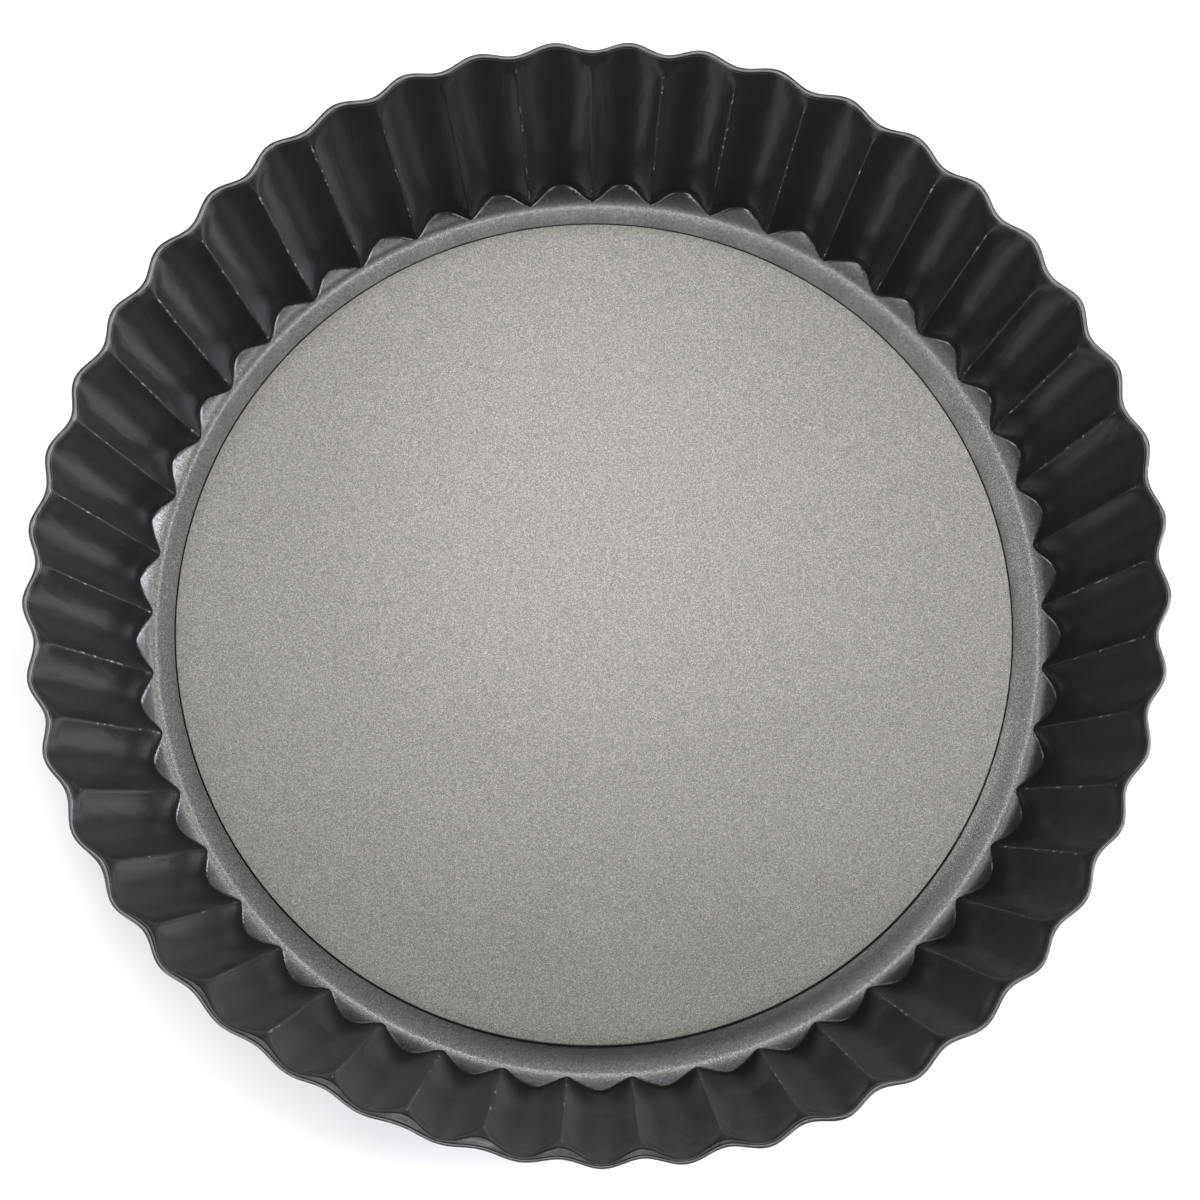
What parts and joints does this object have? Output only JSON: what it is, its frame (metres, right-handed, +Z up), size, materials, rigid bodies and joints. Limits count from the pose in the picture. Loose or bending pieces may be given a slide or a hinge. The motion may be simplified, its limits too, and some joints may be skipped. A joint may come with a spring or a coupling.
{
  "type": "fluted quiche dish",
  "caption": "Deep round quiche and flan tin with a fluted, flared side ring, a thin hemmed rim, and a flat loose base that rests on an inward ledge and lifts out upwards.",
  "frame": {"origin": "on the dish's axis, at the plane that the ring stands on", "axes": "+Z up along the dish's axis, out of its open mouth; +X along an inward crease between two flutes, which is only a way of fixing the turn about +Z"},
  "size_m": [0.2495, 0.2496, 0.052],
  "materials": {
    "ring_coating": "satin",
    "base_coating": "satin"
  },
  "bodies": {
    "ring": {"fluted_ring": "ring_coating"},
    "base": {"loose_base": "base_coating"}
  },
  "joints": [
    {"name": "base_lift", "type": "slide", "parent": "ring", "child": "base", "axis": [0, 0, 1], "range_m": [0, 0.065]}
  ]
}
